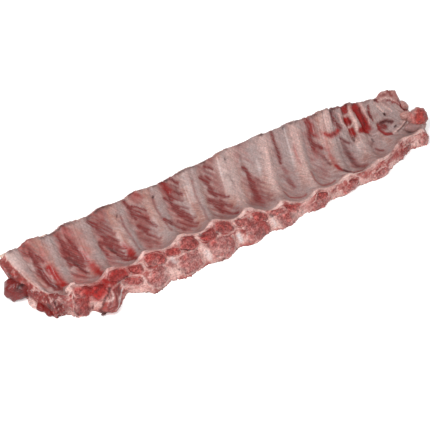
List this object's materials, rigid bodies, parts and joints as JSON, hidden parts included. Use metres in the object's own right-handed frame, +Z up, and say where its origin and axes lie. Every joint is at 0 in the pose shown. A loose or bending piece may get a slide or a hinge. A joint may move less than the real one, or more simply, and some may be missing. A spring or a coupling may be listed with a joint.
{
  "type": "rack of ribs",
  "caption": "Raw rack of loin ribs lying hollow side up: curved rib bones let into a slab of meat, a sawn chine edge in front and sawn rib tips behind.",
  "frame": {"origin": "bottom centre of the rack's box, on the surface it lies on", "axes": "+X along the rack from the cut first rib to the tapered last one, -Y towards the sawn chine edge, +Y towards the sawn rib tips, +Z up out of the hollow bone side"},
  "size_m": [0.4489, 0.0983, 0.0483],
  "materials": {
    "meat": "moist raw muscle under a thin grey-pink membrane, with fat and silverskin",
    "rib_bone": "raw rib bone, pale and smooth, sawn across at both ends",
    "spongy_bone": "sawn spongy bone with red marrow in its pores"
  },
  "bodies": {
    "root": {"meat": "meat", "rib_01": "rib_bone", "rib_02": "rib_bone", "rib_03": "rib_bone", "rib_04": "rib_bone", "rib_05": "rib_bone", "rib_06": "rib_bone", "rib_07": "rib_bone", "rib_08": "rib_bone", "rib_09": "rib_bone", "rib_10": "rib_bone", "rib_11": "rib_bone", "rib_12": "rib_bone", "rib_13": "rib_bone", "vertebra_02": "spongy_bone", "vertebra_04": "spongy_bone", "vertebra_05": "spongy_bone", "vertebra_06": "spongy_bone", "vertebra_07": "spongy_bone", "vertebra_08": "spongy_bone", "vertebra_09": "spongy_bone", "vertebra_10": "spongy_bone", "vertebra_11": "spongy_bone", "vertebra_12": "spongy_bone", "vertebra_13": "spongy_bone", "end_knob": "spongy_bone"}
  },
  "joints": []
}
